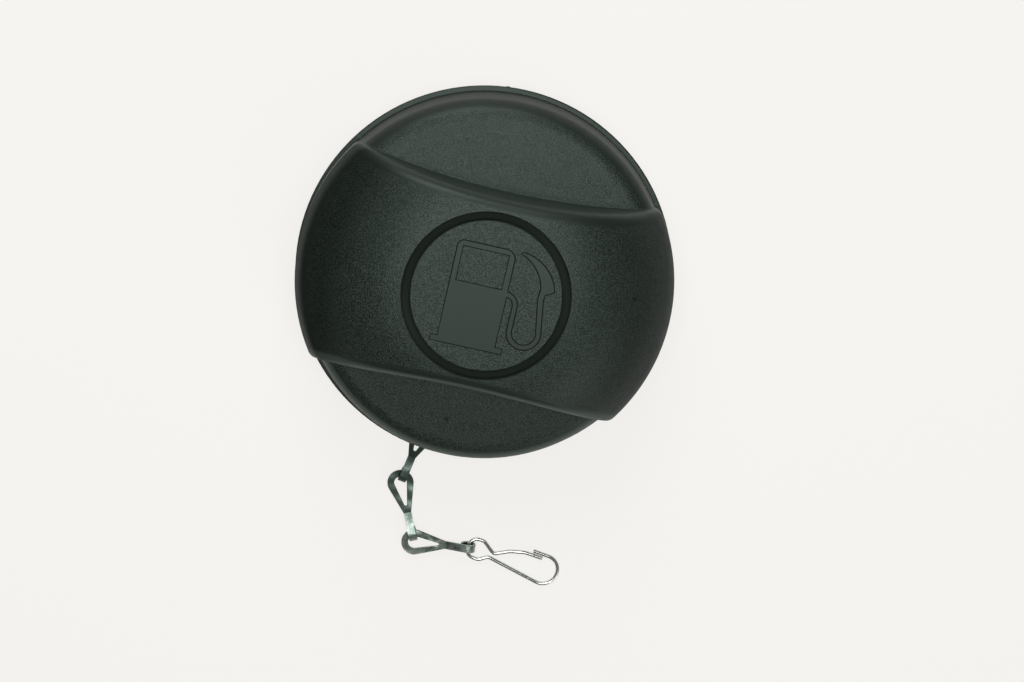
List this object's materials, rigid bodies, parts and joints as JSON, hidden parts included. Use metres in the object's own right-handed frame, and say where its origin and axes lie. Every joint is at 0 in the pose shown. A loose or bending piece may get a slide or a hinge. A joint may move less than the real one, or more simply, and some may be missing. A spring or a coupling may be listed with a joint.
{
  "type": "fuel filler cap",
  "caption": "Round moulded fuel filler cap with a raised grip, a spring-loaded bayonet, breather valves and a retaining chain of stamped links with a wire snap hook.",
  "frame": {"origin": "centre of the gasket's sealing face, on the neck's axis", "axes": "+Z out of the neck along its axis, +X along the grip, -Z is the way the sealing face looks"},
  "size_m": [0.112, 0.1499, 0.0455],
  "materials": {
    "cover_plastic": "fine moulded grain, greenish black",
    "disc_plastic": "fine moulded grain",
    "inner_plastic": "smooth moulded",
    "bayonet_plastic": "smooth moulded, glass filled",
    "valve_plastic": "natural acetal",
    "gasket_rubber": "matt",
    "valve_rubber": "matt red brown",
    "link_steel": "bright plated sheet",
    "wire_steel": "bright plated wire",
    "spring_steel": "oiled spring wire",
    "screw_steel": "zinc plated"
  },
  "bodies": {
    "cap": {"cover": "cover_plastic", "centre_disc": "disc_plastic", "inner_plate": "inner_plastic", "gasket": "gasket_rubber", "plate_screws": "screw_steel", "chain_anchor": "link_steel", "anchor_rivet": "screw_steel", "bayonet_spring": "spring_steel"},
    "bayonet": {"bayonet_body": "bayonet_plastic", "spring_washer": "screw_steel", "circlip": "spring_steel", "valve_housing": "valve_plastic", "o_ring": "valve_rubber", "housing_ring": "spring_steel", "vent_cover": "valve_plastic", "pressure_spring": "spring_steel"},
    "pressure_valve": {"pressure_poppet": "valve_plastic", "poppet_seal": "valve_rubber", "vacuum_spring": "spring_steel"},
    "vacuum_valve": {"vacuum_disc": "valve_plastic", "vacuum_retainer": "screw_steel"},
    "first_link": {"link_1": "link_steel"},
    "second_link": {"link_2": "link_steel"},
    "third_link": {"link_3": "link_steel"},
    "hook": {"snap_hook": "wire_steel"}
  },
  "joints": [
    {"name": "bayonet_pull", "type": "slide", "parent": "cap", "child": "bayonet", "axis": [0, 0, 1], "range_m": [-0.0025, 0], "stiffness_N_per_m": 6000, "springref_m": 0.005, "deforming": ["bayonet_spring"]},
    {"name": "pressure_lift", "type": "slide", "parent": "bayonet", "child": "pressure_valve", "axis": [0, 0, 1], "range_m": [0, 0.0015], "stiffness_N_per_m": 1500, "springref_m": -0.002, "deforming": ["pressure_spring"]},
    {"name": "vacuum_drop", "type": "slide", "parent": "pressure_valve", "child": "vacuum_valve", "axis": [0, 0, -1], "range_m": [0, 0.001], "stiffness_N_per_m": 600, "springref_m": -0.001, "deforming": ["vacuum_spring"]},
    {"name": "first_link_flap", "type": "hinge", "parent": "cap", "child": "first_link", "pos_m": [-0.00693, -0.04868, -0.0058], "axis": [-0.986, 0.1668, 0], "range_deg": [-90, 14]},
    {"name": "second_link_swing", "type": "hinge", "parent": "first_link", "child": "second_link", "pos_m": [-0.01055, -0.07012, -0.0112], "axis": [0, 0, 1], "range_deg": [-100, 38]},
    {"name": "third_link_swing", "type": "hinge", "parent": "second_link", "child": "third_link", "pos_m": [-0.00231, -0.08796, -0.0112], "axis": [0, 0, 1], "range_deg": [-130, 3]},
    {"name": "hook_flap", "type": "hinge", "parent": "third_link", "child": "hook", "pos_m": [0.01438, -0.08602, -0.0119], "axis": [-0.1564, -0.9877, 0], "range_deg": [-70, 100]}
  ]
}
